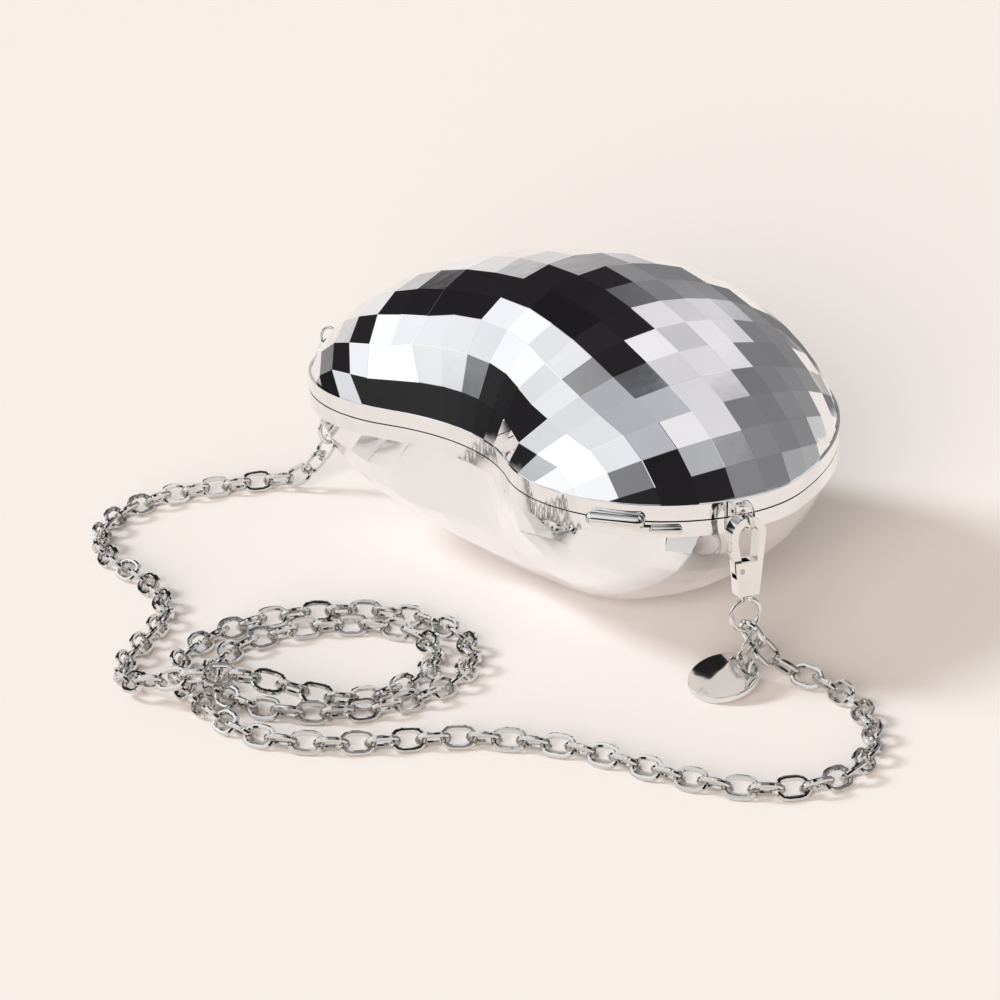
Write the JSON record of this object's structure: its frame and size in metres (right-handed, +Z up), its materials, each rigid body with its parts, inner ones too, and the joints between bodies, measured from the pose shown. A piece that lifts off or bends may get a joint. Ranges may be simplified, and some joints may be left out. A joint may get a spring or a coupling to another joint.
{
  "type": "heart shaped purse",
  "caption": "Heart shaped hard purse with faceted mirror shells that open on a side hinge, a bar clasp, a round charm and a chain strap on swivel hooks.",
  "frame": {"origin": "middle of the small flat under the case half, on the heart's mirror plane", "axes": "+Z up from the floor, +Y from the heart's cleft to its tip, +X across the lobes"},
  "size_m": [0.2537, 0.2073, 0.0817],
  "materials": {
    "mirror_shell": "mirror polished facets",
    "polished_trim": "polished",
    "lining": "smooth black leather",
    "hinge_steel": "plain steel",
    "chain_metal": "polished flat-cut links",
    "charm_metal": "polished",
    "hardware_metal": "polished"
  },
  "bodies": {
    "case": {"lower_shell": "mirror_shell", "lower_lining": "lining", "lower_frame": "polished_trim", "hinge_lower_leaf": "hinge_steel", "hinge_pin": "hinge_steel", "clasp_lower_bar": "polished_trim", "right_lug": "hardware_metal", "left_lug": "hardware_metal", "right_swivel_eye": "hardware_metal", "left_swivel_eye": "hardware_metal", "chain_right_run": "chain_metal", "chain_coil": "chain_metal", "chain_left_run": "chain_metal"},
    "lid": {"upper_shell": "mirror_shell", "upper_lining": "lining", "upper_frame": "polished_trim", "hinge_upper_leaf": "hinge_steel", "clasp_upper_bar": "polished_trim"},
    "right_ring_body": {"right_ring": "hardware_metal"},
    "right_hook": {"right_hook_body": "hardware_metal", "right_gate_pin": "hinge_steel", "right_gate_spring": "hinge_steel"},
    "right_gate": {"right_hook_gate": "hardware_metal"},
    "left_ring_body": {"left_ring": "hardware_metal"},
    "left_hook": {"left_hook_body": "hardware_metal", "left_gate_pin": "hinge_steel", "left_gate_spring": "hinge_steel"},
    "left_gate": {"left_hook_gate": "hardware_metal"},
    "charm": {"charm_ring": "charm_metal", "charm_disc": "charm_metal"}
  },
  "joints": [
    {"name": "lid_hinge", "type": "hinge", "parent": "case", "child": "lid", "pos_m": [-0.04871, 0.04572, 0.041], "axis": [-0.771, -0.6368, 0], "range_deg": [0, 100]},
    {"name": "right_ring_swing", "type": "hinge", "parent": "case", "child": "right_ring_body", "pos_m": [0.08234, -0.01855, 0.0445], "axis": [0, 0, 1], "range_deg": [-9, 9]},
    {"name": "right_hook_swivel", "type": "hinge", "parent": "case", "child": "right_hook", "pos_m": [0.08538, -0.01918, 0.024], "axis": [0, 0, 1], "range_deg": [-12, 12]},
    {"name": "right_gate_hinge", "type": "hinge", "parent": "right_hook", "child": "right_gate", "pos_m": [0.08497, -0.02114, 0.02997], "axis": [-0.9792, 0.2028, 0], "range_deg": [0, 24], "stiffness_Nm_per_rad": 0.003, "springref_deg": -11.46},
    {"name": "left_ring_swing", "type": "hinge", "parent": "case", "child": "left_ring_body", "pos_m": [-0.08234, -0.01855, 0.0445], "axis": [0, 0, 1], "range_deg": [-9, 9]},
    {"name": "left_hook_swivel", "type": "hinge", "parent": "case", "child": "left_hook", "pos_m": [-0.08538, -0.01918, 0.024], "axis": [0, 0, 1], "range_deg": [-12, 12]},
    {"name": "left_gate_hinge", "type": "hinge", "parent": "left_hook", "child": "left_gate", "pos_m": [-0.08579, -0.01723, 0.02997], "axis": [0.9792, 0.2028, 0], "range_deg": [0, 24], "stiffness_Nm_per_rad": 0.003, "springref_deg": -11.46},
    {"name": "charm_swing", "type": "hinge", "parent": "case", "child": "charm", "pos_m": [0.08387, -0.01686, 0.00928], "axis": [-0.8243, -0.4069, 0.3937], "range_deg": [0, 18]}
  ]
}
